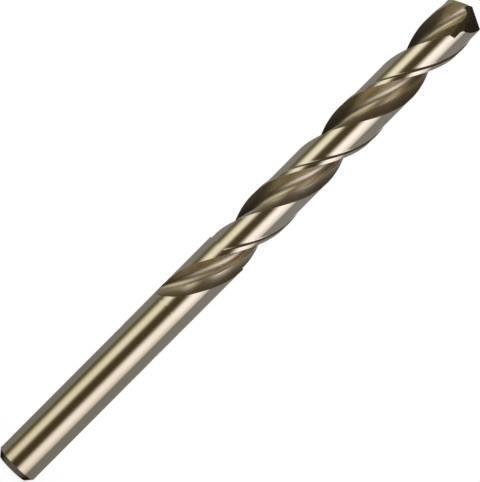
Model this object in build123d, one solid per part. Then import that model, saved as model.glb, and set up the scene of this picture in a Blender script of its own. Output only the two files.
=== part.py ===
from build123d import *
import math
import os

# Twist drill, jobber length, right-hand helix, two flutes, ground split point.
# Millimetres. The drill stands on its shank end: the origin is the centre of that end face,
# and +Z runs up the axis to the point. The front of the drill faces -Y.
# A drill turns counter-clockwise seen from its point, so "ahead" of an edge is a larger angle.

# --- Overall sizes -------------------------------------------------------------------------
CUTTING_DIAMETER = 9.0
OVERALL_LENGTH = 125.0
SHANK_DIAMETER = 8.9
BACK_TAPER = 0.08 / 100  # loss of diameter for each millimetre behind the point
END_CHAMFER_WIDTH = 1.0
END_CHAMFER_HEIGHT = 1.2
NECK_LENGTH = 1.2  # slope between the shank and the slightly larger fluted body

# --- Flutes --------------------------------------------------------------------------------
FLUTE_LENGTH = 82.0  # from the point to where the last of the flute leaves the surface
HELIX_LEAD_LENGTH = 47.1  # axial length of one full turn, a helix of about 31 degrees
FRONT_EDGE_HEIGHT = 104.8  # height at which the leading edge of a land faces the front
FLUTE_OPENING = 95.5  # degrees from leading edge to heel, at the point
RUN_OUT_OPENING = 80.0  # the same where the flute ends
WEB_THICKNESS = 2.25  # at the point
RUN_OUT_WEB_THICKNESS = 3.2  # where the flute ends
WALL_SHARE = 0.66  # distance of the flat inner wall from the axis, per web radius
RIDGE_LEAD = 27.5  # degrees from the heel forward to the ridge between flute and heel relief
RIDGE_DEPTH = 0.45  # how far the ridge lies under the line from edge to heel, at the point
LIP_ANGLE = 36.0  # direction of the narrow lip between the inner wall and the ridge
RUN_OUT_RADIUS = 22.0  # path of the grinding wheel as it leaves the bar
RUN_OUT_ANGLE = 24.0  # direction in which the flute wheel leaves, ahead of the leading edge
RELIEF_RUN_OUT_RADIUS = 9.0
RELIEF_RUN_OUT_ANGLE = 52.0

# --- Lands ---------------------------------------------------------------------------------
MARGIN_WIDTH = 0.8
CLEARANCE_DEPTH = 0.27  # step from the margin down to the body
CLEARANCE_LENGTH = 66.7  # from the point to the end of the step

# --- Point ---------------------------------------------------------------------------------
POINT_ANGLE = 130.0
LIP_RELIEF = 13.8  # fall of the flank behind the lip, degrees
CHISEL_LENGTH = 0.32
SPLIT_SLOPE = 51.6  # steepness of the ground split behind the flank, degrees
SPLIT_ANGLE = 70.5  # direction in which the split falls, ahead of the lip
SPLIT_WALL_ANGLE = 31.6  # direction of the short inner lip, ahead of the outer lip
GASH_WIDTH = 2.3  # narrow steep slot that thins the web in front of each split
GASH_SLOPE = 62.0
GASH_ANGLE = 65.0  # direction in which the slot falls, ahead of the lip
GASH_RISE_HEIGHT = 0.54  # height above the point at which the slot's floor meets the axis

# --- How the cutters are built -------------------------------------------------------------
STATION_ANGLE = 30.0  # twist between neighbouring sections of a cutter
OVERRUN_LENGTH = 1.2  # how far every cutter reaches beyond the metal

twist_per_mm = 360.0 / HELIX_LEAD_LENGTH
cutting_radius = CUTTING_DIAMETER / 2
flute_end_z = OVERALL_LENGTH - FLUTE_LENGTH
clearance_end_z = OVERALL_LENGTH - CLEARANCE_LENGTH


def behind(z):
    """Distance from the point back to height z."""
    return OVERALL_LENGTH - z


def margin_radius(z):
    return cutting_radius - BACK_TAPER / 2 * behind(z)


def body_radius(z):
    return margin_radius(z) - CLEARANCE_DEPTH


def along_flute(at_point, at_run_out, z):
    """A value that changes evenly from the point to the end of the flute."""
    return at_point + (at_run_out - at_point) * behind(z) / FLUTE_LENGTH


def web_radius(z):
    return along_flute(WEB_THICKNESS, RUN_OUT_WEB_THICKNESS, z) / 2


def opening(z):
    return along_flute(FLUTE_OPENING, RUN_OUT_OPENING, z)


def edge_angle(z):
    """Angle of the first land's leading edge at height z, from +X; the front is at -90."""
    return (z - FRONT_EDGE_HEIGHT) * twist_per_mm - 90.0


def polar(radius, angle):
    return Vector(radius * math.cos(math.radians(angle)), radius * math.sin(math.radians(angle)))


def run_out(z, end_z, depth, radius):
    """How far the wheel has lifted at height z, when its deepest cut leaves the bar at end_z."""
    start_z = end_z + math.sqrt(2 * radius * depth - depth**2)
    inside = max(0.0, start_z - z)
    return radius - math.sqrt(radius**2 - inside**2)


def stations(low_z, high_z):
    count = math.ceil((high_z - low_z) * twist_per_mm / STATION_ANGLE)
    return [low_z + (high_z - low_z) * i / count for i in range(count + 1)]


def heel_point(z):
    return polar(body_radius(z), opening(z))


def ridge_point(z):
    """The ridge, close under the straight line from the leading edge to the heel."""
    half = opening(z) / 2
    off_middle = half - RIDGE_LEAD
    reach = body_radius(z) * math.cos(math.radians(half)) / math.cos(math.radians(off_middle))
    share = along_flute(1, 0, z)
    return polar(reach - RIDGE_DEPTH * share * abs(share), opening(z) - RIDGE_LEAD)


def flute_section(z):
    """The main hollow of one flute: radial face, round floor, flat inner wall, narrow lip."""
    web = web_radius(z)
    wall = WALL_SHARE * web
    floor_radius = web - wall + math.sqrt(2 * web * (web - wall))
    floor_centre = Vector(wall + floor_radius, floor_radius)
    face_end = Vector(floor_centre.X, 0)
    floor_middle = floor_centre - polar(floor_radius, 45)
    floor_end = Vector(wall, floor_centre.Y)
    ridge = ridge_point(z)
    lip_start = Vector(wall, ridge.Y - (ridge.X - wall) * math.tan(math.radians(LIP_ANGLE)))
    depth = margin_radius(z) - web
    lift = run_out(z, flute_end_z, depth, RUN_OUT_RADIUS)
    far = ridge + polar(depth, LIP_ANGLE)
    outer = Vector(margin_radius(z) + OVERRUN_LENGTH + lift, 0)
    edges = [
        Line(outer, face_end),
        ThreePointArc(face_end, floor_middle, floor_end),
        Line(floor_end, lip_start),
        Line(lip_start, far),
        Line(far, outer),
    ]
    shift = Location(polar(lift, RUN_OUT_ANGLE))
    return place([edge.moved(shift) for edge in edges], z)


def relief_section(z):
    """The flat relief that takes the flute's far wall back from the ridge to the heel."""
    depth = margin_radius(z) - body_radius(z) * math.cos(math.radians(opening(z) / 2))
    lift = run_out(z, flute_end_z, depth, RELIEF_RUN_OUT_RADIUS)
    shift = polar(lift, RELIEF_RUN_OUT_ANGLE)
    heel = heel_point(z)
    ridge = ridge_point(z)
    along = (heel - ridge).normalized()
    outward = Vector(along.Y, -along.X) * (body_radius(z) * 0.75)
    heel_out = heel + along * OVERRUN_LENGTH
    inner = ridge - along * OVERRUN_LENGTH
    corners = [heel_out, inner, inner + outward, heel_out + outward]
    return place(closed([corner + shift for corner in corners]), z)


def clearance_section(z):
    """The ring that is ground off a land between its heel and its margin."""
    start = opening(z) - RIDGE_LEAD
    end = 180 - math.degrees(MARGIN_WIDTH / margin_radius(z))
    middle = (start + end) / 2
    low = body_radius(z)
    over = margin_radius(z) + OVERRUN_LENGTH
    edges = [
        ThreePointArc(polar(low, start), polar(low, middle), polar(low, end)),
        Line(polar(low, end), polar(over, end)),
        ThreePointArc(polar(over, end), polar(over, middle), polar(over, start)),
        Line(polar(over, start), polar(low, start)),
    ]
    return place(edges, z)


def closed(corners):
    return [Line(corner, corners[i - 1]) for i, corner in enumerate(corners)]


def place(edges, z):
    """Turns a section drawn with its leading edge on +X to its angle at height z."""
    location = Location((0, 0, z), (0, 0, edge_angle(z)))
    return Face(Wire(edges).moved(location))


def helical_cutter(section, low_z, high_z):
    first = loft([section(z) for z in stations(low_z, high_z)])
    return [first, first.rotate(Axis.Z, 180)]


def half_space(plane):
    """A block on the positive side of a plane, large enough to act as a half space."""
    size = 6 * CUTTING_DIAMETER
    return plane * Box(size, size, size, align=(Align.CENTER, Align.CENTER, Align.MIN))


def bar():
    """Ground bar: chamfered shank end, parallel shank, then the cutting diameter."""
    shank_radius = SHANK_DIAMETER / 2
    neck_z = flute_end_z - NECK_LENGTH
    profile = Polyline(
        (0, 0),
        (shank_radius - END_CHAMFER_WIDTH, 0),
        (shank_radius, END_CHAMFER_HEIGHT),
        (shank_radius, neck_z),
        (margin_radius(flute_end_z), flute_end_z),
        (cutting_radius, OVERALL_LENGTH + OVERRUN_LENGTH),
        (0, OVERALL_LENGTH + OVERRUN_LENGTH),
        close=True,
    )
    return revolve(Plane.XZ * make_face(profile), axis=Axis.Z)


def point_cutters():
    """Everything ground off at the point: two flanks, a split across each, and the gashes."""
    web = web_radius(OVERALL_LENGTH)
    lip_drop = 1 / math.tan(math.radians(POINT_ANGLE / 2))
    relief = math.tan(math.radians(LIP_RELIEF))
    lip_start_z = OVERALL_LENGTH + relief * web
    corner_z = lip_start_z - lip_drop * cutting_radius
    lip = edge_angle(corner_z) - math.degrees(math.asin(web / cutting_radius))
    flank_normal = polar(lip_drop, lip) - polar(relief, lip + 90) + Vector(0, 0, 1)
    flank = Plane(origin=(0, 0, OVERALL_LENGTH), z_dir=flank_normal)

    chisel = lip + math.degrees(math.atan2(lip_drop, relief))
    split_normal = polar(math.tan(math.radians(SPLIT_SLOPE)), lip + SPLIT_ANGLE) + Vector(0, 0, 1)
    chisel_end = polar(CHISEL_LENGTH / 2, chisel) + Vector(0, 0, OVERALL_LENGTH)
    split = Plane(origin=chisel_end, z_dir=split_normal)
    wall = Plane(origin=(0, 0, OVERALL_LENGTH), z_dir=polar(1, lip + SPLIT_WALL_ANGLE + 90))

    slot = Plane(
        origin=(0, 0, OVERALL_LENGTH + GASH_RISE_HEIGHT),
        x_dir=polar(1, lip + GASH_ANGLE + 90),
        z_dir=polar(math.tan(math.radians(GASH_SLOPE)), lip + GASH_ANGLE) + Vector(0, 0, 1),
    )
    reach = CUTTING_DIAMETER * 3
    gash = slot * Box(GASH_WIDTH, reach, reach, align=(Align.CENTER, Align.CENTER, Align.MIN))

    cutters = [half_space(flank), half_space(split) & half_space(wall), gash]
    return cutters + [cutter.rotate(Axis.Z, 180) for cutter in cutters]


def twist_drill():
    top_z = OVERALL_LENGTH + OVERRUN_LENGTH
    below_flutes_z = flute_end_z - 2 * OVERRUN_LENGTH
    drill = bar()
    for section, low_z in (
        (flute_section, below_flutes_z),
        (relief_section, below_flutes_z),
        (clearance_section, clearance_end_z),
    ):
        for cutter in helical_cutter(section, low_z, top_z + OVERRUN_LENGTH):
            drill -= cutter
    for cutter in point_cutters():
        drill -= cutter
    return drill


os.makedirs("parts", exist_ok=True)
export_step(twist_drill(), "parts/twist_drill.step")
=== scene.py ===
"""A straw-tinted twist drill on its shank end: body by Geometry Nodes, finishes and studio."""

import logging
import math
from dataclasses import dataclass, field
from enum import Enum

import bmesh
import bpy
from mathutils import Matrix, Vector


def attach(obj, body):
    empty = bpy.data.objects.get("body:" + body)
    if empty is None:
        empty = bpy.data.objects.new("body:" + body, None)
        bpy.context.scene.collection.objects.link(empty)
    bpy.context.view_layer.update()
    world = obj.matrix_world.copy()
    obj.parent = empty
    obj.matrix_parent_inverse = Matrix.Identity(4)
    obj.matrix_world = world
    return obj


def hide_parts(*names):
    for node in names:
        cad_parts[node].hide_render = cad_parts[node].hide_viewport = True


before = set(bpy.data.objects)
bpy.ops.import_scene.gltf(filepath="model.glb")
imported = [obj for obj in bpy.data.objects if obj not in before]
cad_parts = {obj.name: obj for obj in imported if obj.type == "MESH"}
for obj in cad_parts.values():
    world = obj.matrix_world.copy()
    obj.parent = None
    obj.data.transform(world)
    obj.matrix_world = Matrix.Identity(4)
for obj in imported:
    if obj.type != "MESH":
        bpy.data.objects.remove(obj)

log = logging.getLogger("twist_drill")
MM = 0.001
NODE = "twist_drill"
BODY = "root"
NO_LENGTH = 1e-9
NO_STRETCH = 1e-12


class Zone(Enum):
    """A stretch of the drill's outline, by the finish it takes."""

    LAND = 0
    FLUTE = 1


class Bounce(Enum):
    """Which rays meet a stage object."""

    FLOOR = "floor"
    REFLECTIONS = "reflections"


def polar(radius: float, angle: float) -> Vector:
    """A point of the section plane, by radius and angle in degrees."""
    turn = math.radians(angle)
    return Vector((radius * math.cos(turn), radius * math.sin(turn)))


def angle_of(point: Vector) -> float:
    """The point's angle about the axis, in degrees."""
    return math.degrees(math.atan2(point.y, point.x))


def between(first: Vector, last: Vector, count: int) -> list[Vector]:
    """Evenly spaced points on a straight stretch, both ends included."""
    return [first.lerp(last, i / (count - 1)) for i in range(count)]


def arc(radius: float, start: float, end: float, count: int) -> list[Vector]:
    """Evenly spaced points on a circle about the axis."""
    return [polar(radius, start + (end - start) * i / (count - 1)) for i in range(count)]


def resample(path: list[Vector], count: int) -> list[Vector]:
    """Spaces a path's points evenly along its length.

    Args:
        path: Points of the path, which may all be the same.
        count: How many points to return.
    """
    reach = [0.0]
    for near, far in zip(path, path[1:]):
        reach.append(reach[-1] + (far - near).length)
    if reach[-1] < NO_LENGTH:
        return [path[0].copy() for _ in range(count)]
    points = []
    step = 0
    for i in range(count):
        aim = reach[-1] * i / (count - 1)
        while step < len(path) - 2 and reach[step + 1] < aim:
            step += 1
        stretch = reach[step + 1] - reach[step]
        share = (aim - reach[step]) / stretch if stretch > NO_STRETCH else 0.0
        points.append(path[step].lerp(path[step + 1], min(1.0, share)))
    return points


@dataclass(frozen=True)
class DrillSizes:
    """Driving dimensions in millimetres and degrees; they agree with the CAD part."""

    diameter: float = 9.0
    length: float = 125.0
    shank_diameter: float = 8.9
    back_taper: float = 0.0008
    chamfer_width: float = 1.0
    chamfer_height: float = 1.2
    neck_length: float = 1.2
    flute_length: float = 82.0
    lead: float = 47.1
    front_edge_height: float = 104.8
    opening: float = 95.5
    run_out_opening: float = 80.0
    web: float = 2.25
    run_out_web: float = 3.2
    wall_share: float = 0.66
    ridge_lead: float = 27.5
    ridge_depth: float = 0.45
    lip_angle: float = 36.0
    run_out_radius: float = 22.0
    run_out_angle: float = 24.0
    relief_run_out_radius: float = 9.0
    relief_run_out_angle: float = 52.0
    margin: float = 0.8
    clearance: float = 0.27
    clearance_corner: float = 1.0
    clearance_length: float = 66.7
    point_angle: float = 130.0
    lip_relief: float = 13.8
    chisel: float = 0.32
    split_slope: float = 51.6
    split_angle: float = 70.5
    split_wall_angle: float = 31.6
    gash_width: float = 2.3
    gash_slope: float = 62.0
    gash_angle: float = 65.0
    gash_rise: float = 0.54

    @property
    def flute_end(self) -> float:
        """Height at which the flutes leave the bar."""
        return self.length - self.flute_length

    @property
    def neck(self) -> float:
        """Height at which the shank ends."""
        return self.flute_end - self.neck_length

    @property
    def clearance_end(self) -> float:
        """Height at which the step beside the margins ends."""
        return self.length - self.clearance_length

    def margin_radius(self, z: float) -> float:
        """Radius over the margins at height z."""
        return self.diameter / 2 - self.back_taper / 2 * (self.length - z)

    def bar_radius(self, z: float) -> float:
        """Radius of the ground bar at height z."""
        shank = self.shank_diameter / 2
        if z >= self.flute_end:
            return self.margin_radius(z)
        if z >= self.neck:
            share = (z - self.neck) / self.neck_length
            return shank + (self.margin_radius(self.flute_end) - shank) * share
        return shank - self.chamfer_width * max(0.0, 1 - z / self.chamfer_height)

    def along_flute(self, at_point: float, at_run_out: float, z: float) -> float:
        """A value that changes evenly from the point to the end of the flute."""
        return at_point + (at_run_out - at_point) * (self.length - z) / self.flute_length

    def edge_angle(self, z: float) -> float:
        """Angle of the first land's leading edge, from +X, in degrees."""
        return (z - self.front_edge_height) * 360 / self.lead - 90


@dataclass(frozen=True)
class Section:
    """The half outline of the drill at one height, from one leading edge to the next."""

    sizes: DrillSizes
    z: float
    stepped: bool

    FACE_COUNT = 6
    FLUTE_COUNT = 64
    RIM_COUNT = 6
    RELIEF_COUNT = 16
    HEEL_COUNT = 4
    LAND_COUNT = 26
    CORNER_COUNT = 10
    MARGIN_COUNT = 8

    # Points along the flute's path before it is cut to the bar and spaced evenly.
    FACE_PATH = 90
    FLOOR_PATH = 60
    WALL_PATH = 40
    LIP_PATH = 160

    @property
    def body_radius(self) -> float:
        """Radius of a land behind its margin."""
        return self.sizes.margin_radius(self.z) - self.sizes.clearance

    @property
    def opening(self) -> float:
        """Angle from the leading edge to the heel."""
        sizes = self.sizes
        return sizes.along_flute(sizes.opening, sizes.run_out_opening, self.z)

    def lift(self, depth: float, radius: float) -> float:
        """How far a grinding wheel has left the bar on its round way out."""
        start = self.sizes.flute_end + math.sqrt(2 * radius * depth - depth**2)
        inside = min(radius * 0.98, max(0.0, start - self.z))
        return radius - math.sqrt(radius**2 - inside**2)

    def ridge(self) -> Vector:
        """The edge between the flute and the relief of its heel, before any run-out."""
        sizes = self.sizes
        half = math.radians(self.opening / 2)
        off_middle = half - math.radians(sizes.ridge_lead)
        reach = self.body_radius * math.cos(half) / math.cos(off_middle)
        share = sizes.along_flute(1, 0, self.z)
        sunk = sizes.ridge_depth * share * abs(share)
        return polar(reach - sunk, self.opening - sizes.ridge_lead)

    def flute_path(self) -> list[Vector]:
        """Radial face, round floor, flat wall and narrow lip, from outside to outside."""
        sizes = self.sizes
        web = sizes.along_flute(sizes.web, sizes.run_out_web, self.z) / 2
        wall = sizes.wall_share * web
        floor = web - wall + math.sqrt(2 * web * (web - wall))
        depth = sizes.margin_radius(self.z) - web
        shift = polar(self.lift(depth, sizes.run_out_radius), sizes.run_out_angle)
        centre = Vector((wall + floor, floor))
        ridge = self.ridge()
        fall = (ridge.x - wall) * math.tan(math.radians(sizes.lip_angle))
        lip = Vector((wall, ridge.y - fall))
        path = between(Vector((sizes.diameter, 0)), Vector((centre.x, 0)), self.FACE_PATH)
        turned = [-90 - 90 * i / self.FLOOR_PATH for i in range(1, self.FLOOR_PATH + 1)]
        path += [centre + polar(floor, angle) for angle in turned]
        path += between(Vector((wall, centre.y)), lip, self.WALL_PATH)[1:]
        outside = ridge + polar(sizes.diameter, sizes.lip_angle)
        path += between(lip, outside, self.LIP_PATH)[1:]
        return [point + shift for point in path]

    def relief_line(self) -> tuple[Vector, Vector]:
        """A point of the flat relief and its direction from the ridge to the heel."""
        sizes = self.sizes
        ridge = self.ridge()
        along = (polar(self.body_radius, self.opening) - ridge).normalized()
        half = math.radians(self.opening / 2)
        depth = sizes.margin_radius(self.z) - self.body_radius * math.cos(half)
        lifted = self.lift(depth, sizes.relief_run_out_radius)
        return ridge + polar(lifted, sizes.relief_run_out_angle), along

    def chord(self, radius: float) -> tuple[Vector, Vector]:
        """Where the relief enters and leaves a circle; its nearest point twice if it misses."""
        base, along = self.relief_line()
        foot = base - along * base.dot(along)
        inside = radius**2 - foot.length_squared
        if inside <= 0:
            rim = foot.normalized() * radius
            return rim, rim.copy()
        half = along * math.sqrt(inside)
        return foot - half, foot + half

    def clipped_flute(self, radius: float) -> tuple[list[Vector], bool]:
        """The part of the flute's path inside the bar and under the relief.

        Args:
            radius: Radius of the bar here.

        Returns:
            The path, and whether it ends at the ridge rather than on the bar.
        """
        base, along = self.relief_line()
        outward = Vector((along.y, -along.x))
        path = self.flute_path()
        height = [(point - base).dot(outward) for point in path]
        last = len(path) - 1
        while last > 0 and height[last] > 0:
            last -= 1
        share = height[last] / (height[last] - height[last + 1])
        ridge = path[last].lerp(path[last + 1], share)
        kept = path[: last + 1] + [ridge]
        inside = [i for i, point in enumerate(kept) if point.length < radius]
        if not inside:
            rim = min(kept, key=lambda point: point.length)
            return [rim.normalized() * radius], False
        first = inside[0]
        start = self.crossing(kept[first - 1], kept[first], radius)
        if inside[-1] == len(kept) - 1:
            return [start] + kept[first:], True
        end = self.crossing(kept[inside[-1] + 1], kept[inside[-1]], radius)
        return [start] + kept[first : inside[-1] + 1] + [end], False

    @staticmethod
    def crossing(outer: Vector, inner: Vector, radius: float) -> Vector:
        """Where a short stretch crosses a circle about the axis."""
        share = (outer.length - radius) / (outer.length - inner.length)
        return outer.lerp(inner, share)

    def points(self) -> list[Vector]:
        """The half outline, with the same number of points at every height."""
        sizes = self.sizes
        radius = sizes.bar_radius(self.z)
        land = self.body_radius if self.stepped else radius
        flute, at_ridge = self.clipped_flute(radius)
        enter, leave = self.chord(land)
        rim_start = angle_of(flute[-1])
        if at_ridge:
            enter = flute[-1]
            rim = [enter] * self.RIM_COUNT
        else:
            rim = arc(radius, rim_start, max(rim_start, angle_of(enter)), self.RIM_COUNT)
        split = enter.lerp(leave, 1.0 if self.stepped else self.heel_share())
        corner = sizes.clearance_corner
        middle = self.body_radius + corner
        high = sizes.margin_radius(self.z)
        cosine = (middle**2 + high**2 - corner**2) / (2 * middle * high)
        end = 180 - math.degrees(sizes.margin / high)
        foot = end - math.degrees(math.acos(cosine))
        outline = arc(radius, 0, angle_of(flute[0]), self.FACE_COUNT)
        outline += resample(flute, self.FLUTE_COUNT)
        outline += rim
        outline += between(enter, split, self.RELIEF_COUNT)
        outline += between(split, leave, self.HEEL_COUNT)
        outline += arc(land, angle_of(leave), foot, self.LAND_COUNT)
        if self.stepped:
            centre = polar(middle, foot)
            cosine = (corner**2 + middle**2 - high**2) / (2 * corner * middle)
            sweep = math.degrees(math.acos(cosine))
            steps = range(self.CORNER_COUNT)
            turn = [foot + 180 - sweep * i / (self.CORNER_COUNT - 1) for i in steps]
            outline += [centre + polar(corner, angle) for angle in turn]
        else:
            outline += arc(radius, foot, end, self.CORNER_COUNT)
        return outline + arc(radius, end, 180, self.MARGIN_COUNT)

    def heel_share(self) -> float:
        """Share of the relief that lies inside the stepped land where the step ends."""
        top = Section(self.sizes, self.sizes.clearance_end, True)
        enter = top.ridge()
        inner = (top.chord(top.body_radius)[1] - enter).length
        outer = (top.chord(self.sizes.margin_radius(top.z))[1] - enter).length
        return inner / outer

    def zones(self) -> list[Zone]:
        """The finish of each stretch between neighbouring points."""
        flute = self.FLUTE_COUNT + self.RIM_COUNT + self.RELIEF_COUNT + self.HEEL_COUNT
        land = self.LAND_COUNT + self.CORNER_COUNT + self.MARGIN_COUNT
        return [Zone.LAND] * self.FACE_COUNT + [Zone.FLUTE] * flute + [Zone.LAND] * land


class TwistTree:
    """Geometry Nodes that wind a straight half blank along the helix and repeat it."""

    def __init__(self) -> None:
        """Builds the tree once."""
        self.tree = bpy.data.node_groups.new("Wound Blank", "GeometryNodeTree")
        face = self.tree.interface
        face.new_socket("Geometry", in_out="OUTPUT", socket_type="NodeSocketGeometry")
        face.new_socket("Geometry", in_out="INPUT", socket_type="NodeSocketGeometry")
        self.sockets: dict[str, str] = {}
        for name, kind in (
            ("Lead", "Float"),
            ("Front Edge Height", "Float"),
            ("Lowest Twist Height", "Float"),
            ("Flutes", "Int"),
            ("Land Finish", "Material"),
            ("Flute Finish", "Material"),
        ):
            made = face.new_socket(name, in_out="INPUT", socket_type=f"NodeSocket{kind}")
            self.sockets[name] = made.identifier
        self.build()

    def node(self, kind: str, **settings: object) -> bpy.types.Node:
        """Adds one node."""
        made = self.tree.nodes.new(kind)
        for name, value in settings.items():
            setattr(made, name, value)
        return made

    def math(self, operation: str, first: object, second: object) -> bpy.types.NodeSocket:
        """Adds a Math node whose inputs are sockets or numbers."""
        made = self.node("ShaderNodeMath", operation=operation)
        for socket, value in zip(made.inputs, (first, second)):
            if isinstance(value, bpy.types.NodeSocket):
                self.tree.links.new(value, socket)
            else:
                socket.default_value = value
        return made.outputs[0]

    def build(self) -> None:
        """Winds the half blank, repeats it round the axis, welds it and sets the finishes."""
        link = self.tree.links.new
        given = self.node("NodeGroupInput")
        place = self.node("GeometryNodeInputPosition")
        apart = self.node("ShaderNodeSeparateXYZ")
        link(place.outputs[0], apart.inputs[0])
        height = self.math("MAXIMUM", apart.outputs["Z"], given.outputs["Lowest Twist Height"])
        above = self.math("SUBTRACT", height, given.outputs["Front Edge Height"])
        turns = self.math("DIVIDE", above, given.outputs["Lead"])
        angle = self.math("SUBTRACT", self.math("MULTIPLY", turns, math.tau), math.pi / 2)
        wind = self.node("ShaderNodeVectorRotate", rotation_type="Z_AXIS")
        link(place.outputs[0], wind.inputs["Vector"])
        link(angle, wind.inputs["Angle"])
        moved = self.node("GeometryNodeSetPosition")
        link(given.outputs["Geometry"], moved.inputs["Geometry"])
        link(wind.outputs[0], moved.inputs["Position"])

        line = self.node("GeometryNodeMeshLine")
        line.inputs["Offset"].default_value = (0, 0, 0)
        link(given.outputs["Flutes"], line.inputs["Count"])
        index = self.node("GeometryNodeInputIndex")
        step = self.math("DIVIDE", math.tau, given.outputs["Flutes"])
        joined = self.node("ShaderNodeCombineXYZ")
        link(self.math("MULTIPLY", index.outputs[0], step), joined.inputs["Z"])
        euler = self.node("FunctionNodeEulerToRotation")
        link(joined.outputs[0], euler.inputs[0])
        spread = self.node("GeometryNodeInstanceOnPoints")
        link(line.outputs[0], spread.inputs["Points"])
        link(moved.outputs[0], spread.inputs["Instance"])
        link(euler.outputs[0], spread.inputs["Rotation"])
        real = self.node("GeometryNodeRealizeInstances")
        link(spread.outputs[0], real.inputs[0])
        weld = self.node("GeometryNodeMergeByDistance")
        weld.inputs["Distance"].default_value = 0.002 * MM
        link(real.outputs[0], weld.inputs["Geometry"])

        lands = self.node("GeometryNodeSetMaterial")
        link(weld.outputs[0], lands.inputs["Geometry"])
        link(given.outputs["Land Finish"], lands.inputs["Material"])
        zone = self.node("GeometryNodeInputNamedAttribute", data_type="INT")
        zone.inputs["Name"].default_value = "zone"
        flutes = self.node("GeometryNodeSetMaterial")
        link(lands.outputs[0], flutes.inputs["Geometry"])
        link(zone.outputs["Attribute"], flutes.inputs["Selection"])
        link(given.outputs["Flute Finish"], flutes.inputs["Material"])
        link(flutes.outputs[0], self.node("NodeGroupOutput").inputs[0])

    def apply(self, obj: bpy.types.Object, values: dict[str, object]) -> bpy.types.Mesh:
        """Runs the tree on an object and returns the plain mesh.

        Args:
            obj: The object that carries the half blank.
            values: A value for each named input.
        """
        modifier = obj.modifiers.new("Wind", "NODES")
        modifier.node_group = self.tree
        for name, value in values.items():
            modifier[self.sockets[name]] = value
        return plain_mesh(obj)


def plain_mesh(obj: bpy.types.Object) -> bpy.types.Mesh:
    """Evaluates an object's modifiers, removes them and returns the result."""
    graph = bpy.context.evaluated_depsgraph_get()
    mesh = bpy.data.meshes.new_from_object(obj.evaluated_get(graph), depsgraph=graph)
    obj.modifiers.clear()
    return mesh


def show(name: str, mesh: bpy.types.Mesh) -> bpy.types.Object:
    """Puts a mesh in the scene at the origin."""
    obj = bpy.data.objects.new(name, mesh)
    bpy.context.scene.collection.objects.link(obj)
    return obj


class ShaderTree:
    """Short helpers for building one material or shader group."""

    def __init__(self, tree: bpy.types.NodeTree) -> None:
        """Wraps a node tree."""
        self.tree = tree

    def add(self, kind: str, **settings: object) -> bpy.types.Node:
        """Adds one node."""
        made = self.tree.nodes.new(kind)
        for name, value in settings.items():
            setattr(made, name, value)
        return made

    def feed(self, node: bpy.types.Node, **values: object) -> bpy.types.Node:
        """Sets or links a node's inputs; a name's underscores stand for spaces."""
        for name, value in values.items():
            socket = node.inputs[name.replace("_", " ")]
            if isinstance(value, bpy.types.NodeSocket):
                self.tree.links.new(value, socket)
            else:
                socket.default_value = value
        return node

    def math(self, operation: str, *values: object) -> bpy.types.NodeSocket:
        """Adds a Math node whose inputs are sockets or numbers."""
        made = self.add("ShaderNodeMath", operation=operation)
        for socket, value in zip(made.inputs, values):
            if isinstance(value, bpy.types.NodeSocket):
                self.tree.links.new(value, socket)
            else:
                socket.default_value = value
        return made.outputs[0]

    def span(self, value: object, low: float, high: float) -> bpy.types.NodeSocket:
        """Maps a value from 0 to 1 onto low to high."""
        made = self.add("ShaderNodeMapRange")
        return self.feed(made, Value=value, To_Min=low, To_Max=high).outputs[0]

    def group(self, tree: bpy.types.NodeTree, **values: object) -> bpy.types.Node:
        """Adds a shader group and feeds its inputs."""
        made = self.add("ShaderNodeGroup")
        made.node_tree = tree
        return self.feed(made, **values)


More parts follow.
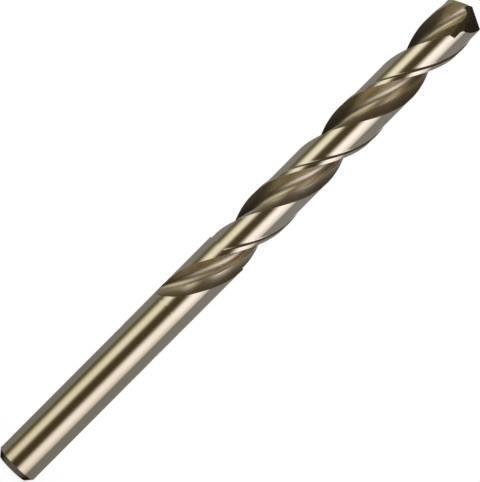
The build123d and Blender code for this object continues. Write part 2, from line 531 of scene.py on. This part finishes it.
class SharedShaders:
    """Shader groups that every finish uses, built once."""

    def __init__(self) -> None:
        """Builds the groups."""
        self.grain = self.build_grain()
        self.tint = self.build_tint()
        self.lines = self.build_lines()

    @staticmethod
    def new_group(
        name: str, inputs: dict[str, str], outputs: dict[str, str]
    ) -> tuple[ShaderTree, bpy.types.Node, bpy.types.Node]:
        """Starts a shader group with named sockets."""
        tree = bpy.data.node_groups.new(name, "ShaderNodeTree")
        for label, kind in inputs.items():
            tree.interface.new_socket(label, in_out="INPUT", socket_type=f"NodeSocket{kind}")
        for label, kind in outputs.items():
            tree.interface.new_socket(label, in_out="OUTPUT", socket_type=f"NodeSocket{kind}")
        shader = ShaderTree(tree)
        return shader, shader.add("NodeGroupInput"), shader.add("NodeGroupOutput")

    def build_grain(self) -> bpy.types.NodeTree:
        """Fine grain of ground steel."""
        shader, given, result = self.new_group(
            "Fine Grain", {"Vector": "Vector", "Scale": "Float"}, {"Value": "Float"}
        )
        noise = shader.add("ShaderNodeTexNoise")
        shader.feed(noise, Vector=given.outputs["Vector"], Scale=given.outputs["Scale"])
        shader.feed(noise, Detail=4.0, Roughness=0.65)
        shader.feed(result, Value=noise.outputs["Fac"])
        return shader.tree

    def build_tint(self) -> bpy.types.NodeTree:
        """The straw temper colour, a little uneven over the length."""
        shader, given, result = self.new_group(
            "Straw Tint",
            {"Vector": "Vector", "Pale": "Color", "Deep": "Color"},
            {"Color": "Color"},
        )
        noise = shader.add("ShaderNodeTexNoise")
        shader.feed(noise, Vector=given.outputs["Vector"], Scale=90.0, Detail=3.0)
        mix = shader.add("ShaderNodeMix", data_type="RGBA")
        shader.tree.links.new(shader.span(noise.outputs["Fac"], -0.4, 1.4), mix.inputs[0])
        shader.tree.links.new(given.outputs["Pale"], mix.inputs[6])
        shader.tree.links.new(given.outputs["Deep"], mix.inputs[7])
        shader.tree.links.new(mix.outputs[2], result.inputs["Color"])
        return shader.tree

    def build_lines(self) -> bpy.types.NodeTree:
        """Grinding lines: noise stretched so that it only changes across the lines."""
        shader, given, result = self.new_group(
            "Grinding Lines", {"Across": "Float", "Along": "Float"}, {"Value": "Float"}
        )
        spread = shader.add("ShaderNodeCombineXYZ")
        shader.feed(spread, X=given.outputs["Across"], Y=given.outputs["Along"])
        noise = shader.add("ShaderNodeTexNoise", noise_dimensions="2D")
        shader.feed(noise, Vector=spread.outputs[0], Scale=1.0, Detail=3.0, Roughness=0.7)
        shader.feed(result, Value=noise.outputs["Fac"])
        return shader.tree


@dataclass(frozen=True)
class SteelFinish:
    """One ground finish of the steel.

    Args:
        name: The material's name.
        pale: Lighter temper colour.
        deep: Darker temper colour.
        roughness: Lowest and highest roughness.
        lines: Grinding lines per metre across the stretch.
        ribs: How much the lines change along themselves, per metre.
        depth: Strength of the bump.
        ground_round: True where the lines run round the axis.
        brushed: How much wider reflections spread across the lines than along them.
    """

    name: str
    pale: tuple[float, float, float]
    deep: tuple[float, float, float]
    roughness: tuple[float, float]
    lines: float
    ribs: float
    depth: float
    ground_round: bool
    brushed: float

    # Pale colour painted along the corners of the outline: a painted edge highlight.
    EDGE_HIGHLIGHT_COLOUR = (0.86, 0.83, 0.76, 1)
    BUMP_HEIGHT = 0.01 * MM

    def build(self, shared: SharedShaders) -> bpy.types.Material:
        """Builds the material."""
        material = bpy.data.materials.new(self.name)
        material.use_nodes = True
        material.node_tree.nodes.clear()
        shader = ShaderTree(material.node_tree)
        place = shader.add("ShaderNodeTexCoord").outputs["Object"]
        grain = shader.group(shared.grain, Vector=place, Scale=5200.0).outputs["Value"]
        tint = shader.group(shared.tint, Vector=place)
        shader.feed(tint, Pale=(*self.pale, 1), Deep=(*self.deep, 1))
        across, along = self.line_places(shader, place)
        lines = shader.group(
            shared.lines,
            Across=shader.math("MULTIPLY", across, self.lines),
            Along=shader.math("MULTIPLY", along, self.ribs),
        ).outputs["Value"]
        rough = shader.math("MULTIPLY_ADD", lines, 0.7, shader.math("MULTIPLY", grain, 0.3))
        # Painted highlight: the tint turns pale along the outline's corners, broken up by the
        # grain.
        edge = shader.add("ShaderNodeAttribute", attribute_name="edge").outputs["Fac"]
        painted_highlight_mask = shader.math("MULTIPLY", edge, grain)
        bright = shader.add("ShaderNodeMix", data_type="RGBA")
        shader.tree.links.new(painted_highlight_mask, bright.inputs[0])
        shader.tree.links.new(tint.outputs["Color"], bright.inputs[6])
        bright.inputs[7].default_value = self.EDGE_HIGHLIGHT_COLOUR
        bump = shader.add("ShaderNodeBump")
        shader.feed(bump, Strength=self.depth, Distance=self.BUMP_HEIGHT, Height=rough)
        steel = shader.add("ShaderNodeBsdfPrincipled")
        steel.inputs["Metallic"].default_value = 1.0
        shader.feed(steel, Base_Color=bright.outputs[2], Normal=bump.outputs[0])
        shader.feed(steel, Roughness=shader.span(rough, *self.roughness))
        shader.feed(steel, Anisotropic=self.brushed, Tangent=self.across_lines(shader, place))
        result = shader.add("ShaderNodeOutputMaterial")
        shader.feed(result, Surface=steel.outputs[0])
        return material

    def across_lines(
        self, shader: ShaderTree, place: bpy.types.NodeSocket
    ) -> bpy.types.NodeSocket:
        """The direction on the surface that crosses the grinding lines."""
        run = shader.add("ShaderNodeCombineXYZ")
        apart = shader.add("ShaderNodeSeparateXYZ")
        shader.tree.links.new(place, apart.inputs[0])
        shader.feed(run, X=shader.math("MULTIPLY", apart.outputs["Y"], -1.0))
        shader.feed(run, Y=apart.outputs["X"])
        if not self.ground_round:
            run.inputs["Z"].default_value = DrillSizes.lead * MM / math.tau
        cross = shader.add("ShaderNodeVectorMath", operation="CROSS_PRODUCT")
        surface = shader.add("ShaderNodeNewGeometry")
        shader.tree.links.new(surface.outputs["Normal"], cross.inputs[0])
        shader.tree.links.new(run.outputs[0], cross.inputs[1])
        return cross.outputs[0]

    def line_places(
        self, shader: ShaderTree, place: bpy.types.NodeSocket
    ) -> tuple[bpy.types.NodeSocket, bpy.types.NodeSocket]:
        """Coordinates across and along the grinding lines, in metres."""
        apart = shader.add("ShaderNodeSeparateXYZ")
        shader.tree.links.new(place, apart.inputs[0])
        if self.ground_round:
            turn = shader.math("ARCTAN2", apart.outputs["Y"], apart.outputs["X"])
            radius = DrillSizes.diameter / 2 * MM
            return apart.outputs["Z"], shader.math("MULTIPLY", turn, radius)
        across = shader.add("ShaderNodeAttribute", attribute_name="across").outputs["Fac"]
        return across, apart.outputs["Z"]


@dataclass
class DrillBody:
    """The drill: a wound blank, cut to a split point."""

    sizes: DrillSizes = field(default_factory=DrillSizes)
    fine_step: float = 0.35
    step: float = 0.5
    over: float = 1.5
    edge_width: float = 0.12
    shank_rings: int = 12
    sharp_angle: float = 24.0

    def heights(self) -> list[tuple[float, bool]]:
        """Heights of the sections, and whether the land is stepped there."""
        sizes = self.sizes
        low = [(0.0, False)]
        start = sizes.chamfer_height
        shank = self.shank_rings
        low += [(start + (sizes.neck - start) * i / shank, False) for i in range(shank)]
        low += self.spaced(sizes.neck, sizes.clearance_end, self.fine_step, False)
        return low + self.spaced(sizes.clearance_end, sizes.length + self.over, self.step, True)

    @staticmethod
    def spaced(low: float, high: float, step: float, stepped: bool) -> list[tuple[float, bool]]:
        """Heights from low to high, both included, about a step apart."""
        count = math.ceil((high - low) / step)
        return [(low + (high - low) * i / count, stepped) for i in range(count + 1)]

    def half_blank(self) -> bpy.types.Mesh:
        """The straight half blank as a grid, with zone, across and edge attributes."""
        rings = [Section(self.sizes, z, stepped) for z, stepped in self.heights()]
        outlines = [ring.points() for ring in rings]
        width = len(outlines[0])
        vertices = [
            (point.x * MM, point.y * MM, ring.z * MM)
            for ring, outline in zip(rings, outlines)
            for point in outline
        ]
        zones = rings[0].zones()[1:]
        faces = []
        marks = []
        for row in range(len(rings) - 1):
            for i in range(width - 1):
                corner = row * width + i
                faces.append((corner, corner + 1, corner + width + 1, corner + width))
                marks.append(zones[i].value)
        bottom = len(vertices)
        top_row = (len(rings) - 1) * width
        vertices += [(0, 0, 0), (0, 0, rings[-1].z * MM)]
        for i in range(width - 1):
            faces.append((bottom, i + 1, i))
            faces.append((bottom + 1, top_row + i, top_row + i + 1))
            marks += [Zone.LAND.value, Zone.LAND.value]
        mesh = bpy.data.meshes.new("half_blank")
        mesh.from_pydata(vertices, [], faces)
        mesh.attributes.new("zone", "INT", "FACE").data.foreach_set("value", marks)
        across, edges = self.measure(outlines)
        mesh.attributes.new("across", "FLOAT", "POINT").data.foreach_set("value", across + [0, 0])
        mesh.attributes.new("edge", "FLOAT", "POINT").data.foreach_set("value", edges + [0, 0])
        return mesh

    def measure(self, outlines: list[list[Vector]]) -> tuple[list[float], list[float]]:
        """Length along each outline, and nearness to its corners, for every point."""
        across = []
        edges = []
        for outline in outlines:
            reach = [0.0]
            for near, far in zip(outline, outline[1:]):
                reach.append(reach[-1] + (far - near).length)
            corners = [
                reach[0],
                reach[Section.FACE_COUNT + Section.FLUTE_COUNT - 1],
                reach[-Section.MARGIN_COUNT - Section.CORNER_COUNT - Section.LAND_COUNT],
                reach[-Section.MARGIN_COUNT],
                reach[-1],
            ]
            across += [value * MM for value in reach]
            for value in reach:
                gap = min(abs(value - corner) for corner in corners)
                # Nearness to a corner, which the finishes use as the mask of a painted edge
                # highlight.
                edges.append(max(0.0, 1 - gap / self.edge_width))
        return across, edges

    def cutters(self) -> list[list[tuple[Vector, Vector]]]:
        """Planes of the point's cutters: each removes what lies beyond all of its planes."""
        sizes = self.sizes
        tip = Vector((0, 0, sizes.length))
        web = sizes.web / 2
        drop = 1 / math.tan(math.radians(sizes.point_angle / 2))
        relief = math.tan(math.radians(sizes.lip_relief))
        corner = sizes.length + relief * web - drop * sizes.diameter / 2
        lip = sizes.edge_angle(corner) - math.degrees(math.asin(2 * web / sizes.diameter))
        flank = (polar(drop, lip) - polar(relief, lip + 90)).to_3d() + Vector((0, 0, 1))
        chisel = lip + math.degrees(math.atan2(drop, relief))
        chisel_end = tip + polar(sizes.chisel / 2, chisel).to_3d()
        wall = polar(1, lip + sizes.split_wall_angle + 90).to_3d()
        slot = tip + Vector((0, 0, sizes.gash_rise))
        side = polar(1, lip + sizes.gash_angle + 90).to_3d()
        half = side * sizes.gash_width / 2
        made = [
            [(tip, flank)],
            [(chisel_end, self.steep(sizes.split_slope, lip + sizes.split_angle)), (tip, wall)],
            [
                (slot, self.steep(sizes.gash_slope, lip + sizes.gash_angle)),
                (slot - half, side),
                (slot + half, -side),
            ],
        ]
        turn = Matrix.Rotation(math.pi, 3, "Z")
        return made + [[(turn @ at, turn @ way) for at, way in planes] for planes in made]

    @staticmethod
    def steep(slope: float, angle: float) -> Vector:
        """The normal of a plane that falls steeply in one direction."""
        return polar(math.tan(math.radians(slope)), angle).to_3d() + Vector((0, 0, 1))

    def cutter(self, index: int, planes: list[tuple[Vector, Vector]]) -> bpy.types.Object:
        """A closed block of everything beyond the given planes near the point."""
        work = bmesh.new()
        bmesh.ops.create_cube(work, size=6 * self.sizes.diameter * MM)
        bmesh.ops.translate(work, verts=work.verts, vec=(0, 0, self.sizes.length * MM))
        for at, way in planes:
            everything = work.verts[:] + work.edges[:] + work.faces[:]
            cut = bmesh.ops.bisect_plane(
                work, geom=everything, plane_co=at * MM, plane_no=way, clear_inner=True
            )
            rim = [item for item in cut["geom_cut"] if isinstance(item, bmesh.types.BMEdge)]
            bmesh.ops.holes_fill(work, edges=rim)
        bmesh.ops.recalc_face_normals(work, faces=work.faces)
        mesh = bpy.data.meshes.new(f"cutter_{index}")
        work.to_mesh(mesh)
        work.free()
        return show(mesh.name, mesh)

    def build(self, finishes: dict[str, bpy.types.Material]) -> bpy.types.Object:
        """Winds the blank, cuts the point and returns the finished piece."""
        sizes = self.sizes
        blank = show("blank", self.half_blank())
        wound = TwistTree().apply(
            blank,
            {
                "Lead": sizes.lead * MM,
                "Front Edge Height": sizes.front_edge_height * MM,
                "Lowest Twist Height": sizes.neck * MM,
                "Flutes": 2,
                "Land Finish": finishes["land"],
                "Flute Finish": finishes["flute"],
            },
        )
        bpy.data.objects.remove(blank)
        drill = show("ground_drill", wound)
        for index, planes in enumerate(self.cutters()):
            tool = self.cutter(index, planes)
            tool.data.materials.append(finishes["point"])
            cut = drill.modifiers.new(tool.name, "BOOLEAN")
            cut.operation = "DIFFERENCE"
            cut.solver = "EXACT"
            cut.material_mode = "TRANSFER"
            cut.object = tool
            mesh = plain_mesh(drill)
            drill.data = mesh
            bpy.data.objects.remove(tool)
        drill.data.materials.pop(index=0)  # the bare blank's empty slot
        drill.data.shade_smooth()
        drill.data.set_sharp_from_angle(angle=math.radians(self.sharp_angle))
        drill.data.name = drill.name
        log.info("drill: %d vertices, %d faces", len(mesh.vertices), len(mesh.polygons))
        return drill


@dataclass(frozen=True)
class Studio:
    """Pale floor, white surroundings and a light tent that only reflections meet."""

    floor_size: float = 40.0
    tent_radius: float = 3.0
    ambient: float = 1.03
    floor_glow: float = 0.7

    # Colour of the tent by direction round the drill, in degrees from the front.
    LEFT = (0.82, 0.79, 0.67)
    RIGHT = (1.02, 0.97, 1.00)
    DARK = (0.062, 0.043, 0.020)
    SEAM = (0.12, 0.105, 0.065)
    SIDE = (0.21, 0.20, 0.20)
    BACK = (0.90, 0.90, 0.88)
    ROUND = (
        (-180, SIDE),
        (-175, BACK),
        (-166, BACK),
        (-162, SIDE),
        (-98, SIDE),
        (-88, SEAM),
        (-75, SEAM),
        (-54, LEFT),
        (-38, LEFT),
        (-24, SEAM),
        (-14, DARK),
        (4, DARK),
        (11, SEAM),
        (29, RIGHT),
        (45, RIGHT),
        (66, (0.66, 0.61, 0.60)),
        (76, (0.19, 0.18, 0.18)),
        (84, SIDE),
        (162, SIDE),
        (166, BACK),
        (175, BACK),
        (180, SIDE),
    )
    # How much brighter the wedges grow with height, by elevation.
    LIFT = ((-7, (1, 1, 1)), (1, (1.25, 1.30, 1.42)))
    # Colour above and below the open wedges, and how open the tent is, by elevation.
    UPWARD = (
        (-64, (0.12, 0.11, 0.10)),
        (-48, (0.04, 0.035, 0.04)),
        (-40, (0.012, 0.010, 0.012)),
        (-26, (0.016, 0.012, 0.010)),
        (10, (0.13, 0.105, 0.07)),
        (24, (0.075, 0.058, 0.033)),
        (46, (0.055, 0.042, 0.022)),
        (62, (0.06, 0.052, 0.032)),
        (71, (0.018, 0.015, 0.014)),
    )
    OPENNESS = ((-26, (0, 0, 0)), (-14, (1, 1, 1)), (13, (1, 1, 1)), (22, (0, 0, 0)))

    def seen(self, shader: ShaderTree) -> bpy.types.NodeSocket:
        """1 for camera, glossy and transmission rays."""
        path = shader.add("ShaderNodeLightPath")
        pair = shader.math("MAXIMUM", path.outputs["Is Camera Ray"], path.outputs["Is Glossy Ray"])
        return shader.math("MAXIMUM", pair, path.outputs["Is Transmission Ray"])

    def build_world(self) -> None:
        """White to what sees it, and a plain pale light to the rest."""
        world = bpy.data.worlds.new("surroundings")
        bpy.context.scene.world = world
        world.use_nodes = True
        world.node_tree.nodes.clear()
        shader = ShaderTree(world.node_tree)
        strength = shader.span(self.seen(shader), self.ambient, 1.0)
        sky = shader.feed(shader.add("ShaderNodeBackground"), Strength=strength)
        sky.inputs["Color"].default_value = (1, 1, 1, 1)
        shader.feed(shader.add("ShaderNodeOutputWorld"), Surface=sky.outputs[0])

    def build_floor(self) -> bpy.types.Object:
        """A white floor that keeps a faint shadow."""
        half = self.floor_size / 2
        mesh = bpy.data.meshes.new("floor")
        corners = [(-half, -half, 0), (half, -half, 0), (half, half, 0), (-half, half, 0)]
        mesh.from_pydata(corners, [], [(0, 1, 2, 3)])
        material = bpy.data.materials.new("pale_floor")
        material.use_nodes = True
        material.node_tree.nodes.clear()
        shader = ShaderTree(material.node_tree)
        paint = shader.add("ShaderNodeBsdfDiffuse")
        paint.inputs["Color"].default_value = (0.98, 0.98, 0.98, 1)
        glow = shader.add("ShaderNodeEmission")
        mix = shader.add("ShaderNodeMixShader")
        shader.tree.links.new(shader.span(self.seen(shader), 0.0, self.floor_glow), mix.inputs[0])
        shader.tree.links.new(paint.outputs[0], mix.inputs[1])
        shader.tree.links.new(glow.outputs[0], mix.inputs[2])
        shader.feed(shader.add("ShaderNodeOutputMaterial"), Surface=mix.outputs[0])
        mesh.materials.append(material)
        return self.place("floor", mesh, Bounce.FLOOR)

    def build_tent(self) -> bpy.types.Object:
        """The light tent: wedges of light and dark round the drill, dark ground, dim roof."""
        work = bmesh.new()
        bmesh.ops.create_uvsphere(work, u_segments=96, v_segments=48, radius=self.tent_radius)
        mesh = bpy.data.meshes.new("light_tent")
        work.to_mesh(mesh)
        work.free()
        material = bpy.data.materials.new("light_tent")
        material.use_nodes = True
        material.node_tree.nodes.clear()
        shader = ShaderTree(material.node_tree)
        place = shader.add("ShaderNodeTexCoord").outputs["Object"]
        apart = shader.add("ShaderNodeSeparateXYZ")
        shader.tree.links.new(place, apart.inputs[0])
        front = shader.math("MULTIPLY", apart.outputs["Y"], -1.0)
        azimuth = shader.math("ARCTAN2", apart.outputs["X"], front)
        height = shader.math("DIVIDE", apart.outputs["Z"], self.tent_radius)
        elevation = shader.math("ARCSINE", height)
        both = shader.add("ShaderNodeMix", data_type="RGBA")
        shader.tree.links.new(self.ramp(shader, elevation, 90, self.OPENNESS), both.inputs[0])
        shader.tree.links.new(self.ramp(shader, elevation, 90, self.UPWARD), both.inputs[6])
        wedges = shader.add("ShaderNodeMix", data_type="RGBA", blend_type="MULTIPLY")
        wedges.inputs[0].default_value = 1.0
        shader.tree.links.new(self.ramp(shader, azimuth, 180, self.ROUND), wedges.inputs[6])
        shader.tree.links.new(self.ramp(shader, elevation, 90, self.LIFT), wedges.inputs[7])
        shader.tree.links.new(wedges.outputs[2], both.inputs[7])
        glow = shader.add("ShaderNodeEmission")
        shader.tree.links.new(both.outputs[2], glow.inputs["Color"])
        shader.feed(shader.add("ShaderNodeOutputMaterial"), Surface=glow.outputs[0])
        material.cycles.emission_sampling = "NONE"
        mesh.materials.append(material)
        return self.place("light_tent", mesh, Bounce.REFLECTIONS)

    def ramp(
        self,
        shader: ShaderTree,
        angle: bpy.types.NodeSocket,
        limit: float,
        stops: tuple[tuple[float, tuple[float, float, float]], ...],
    ) -> bpy.types.NodeSocket:
        """A colour by an angle in radians, with stops in degrees from -limit to limit."""
        share = shader.add("ShaderNodeMapRange")
        reach = math.radians(limit)
        shader.feed(share, Value=angle, From_Min=-reach, From_Max=reach)
        ramp = shader.add("ShaderNodeValToRGB")
        shader.tree.links.new(share.outputs[0], ramp.inputs[0])
        elements = ramp.color_ramp.elements
        elements.remove(elements[-1])
        for index, (degrees, colour) in enumerate(stops):
            at = (degrees + limit) / (2 * limit)
            element = elements[0] if index == 0 else elements.new(at)
            element.position = at
            element.color = (*colour, 1)
        return ramp.outputs["Color"]

    def place(self, name: str, mesh: bpy.types.Mesh, bounce: Bounce) -> bpy.types.Object:
        """Shows a stage object to the rays that should meet it."""
        obj = show(name, mesh)
        for_reflections = bounce is Bounce.REFLECTIONS
        obj.visible_camera = not for_reflections
        obj.visible_diffuse = not for_reflections
        obj.visible_shadow = not for_reflections
        obj.visible_transmission = not for_reflections
        obj.visible_glossy = for_reflections
        log.info("stage: %s", name)
        return obj

    def build(self) -> None:
        """Builds the world, the floor and the tent."""
        self.build_world()
        self.build_floor()
        self.build_tent()


@dataclass(frozen=True)
class StudioCamera:
    """A long lens level with the drill, rolled so that the drill lies diagonally."""

    pixels_per_metre: float = 5208.0
    picture_width: float = 482.0
    distance_pixels: float = 2373.0
    shank_end_pixels: float = -314.8
    middle_pixels: float = 6.4
    side_pixels: float = 0.9
    lean: float = 45.12

    def build(self) -> bpy.types.Object:
        """Makes the scene's camera."""
        data = bpy.data.cameras.new("camera")
        data.sensor_fit = "AUTO"
        scale = self.pixels_per_metre
        distance = self.distance_pixels / scale
        data.lens = data.sensor_width * distance * scale / self.picture_width
        roll = math.radians(90 - self.lean)
        up = Vector((-math.sin(roll), 0, math.cos(roll)))
        forward = Vector((0, 1, 0))
        right = forward.cross(up)
        height = (self.middle_pixels - self.shank_end_pixels) / scale
        turn = Matrix((right, up, -forward)).transposed().to_4x4()
        camera = bpy.data.objects.new("camera", data)
        place = Matrix.Translation((self.side_pixels / scale, -distance, height))
        camera.matrix_world = place @ turn
        bpy.context.scene.collection.objects.link(camera)
        bpy.context.scene.camera = camera
        return camera


FINISHES = {
    "land": SteelFinish(
        name="straw_land",
        pale=(0.83, 0.76, 0.60),
        deep=(0.76, 0.67, 0.49),
        roughness=(0.08, 0.20),
        lines=9000.0,
        ribs=300.0,
        depth=0.25,
        ground_round=True,
        brushed=0.5,
    ),
    "flute": SteelFinish(
        name="straw_flute",
        pale=(0.80, 0.72, 0.55),
        deep=(0.72, 0.62, 0.43),
        roughness=(0.24, 0.36),
        lines=7000.0,
        ribs=120.0,
        depth=0.12,
        ground_round=False,
        brushed=0.8,
    ),
    "point": SteelFinish(
        name="straw_point",
        pale=(0.80, 0.74, 0.60),
        deep=(0.72, 0.64, 0.48),
        roughness=(0.12, 0.28),
        lines=6000.0,
        ribs=200.0,
        depth=0.20,
        ground_round=True,
        brushed=0.0,
    ),
}


def main() -> None:
    """Builds the drill, its studio and its camera."""
    logging.basicConfig(level=logging.INFO, format="%(name)s: %(message)s")
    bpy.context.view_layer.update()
    scene = bpy.context.scene
    scene.view_settings.view_transform = "Standard"
    shared = SharedShaders()
    finishes = {name: finish.build(shared) for name, finish in FINISHES.items()}
    drill = DrillBody().build(finishes)
    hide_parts(NODE)
    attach(drill, BODY)
    Studio().build()
    StudioCamera().build()


if __name__ == "__main__":
    main()
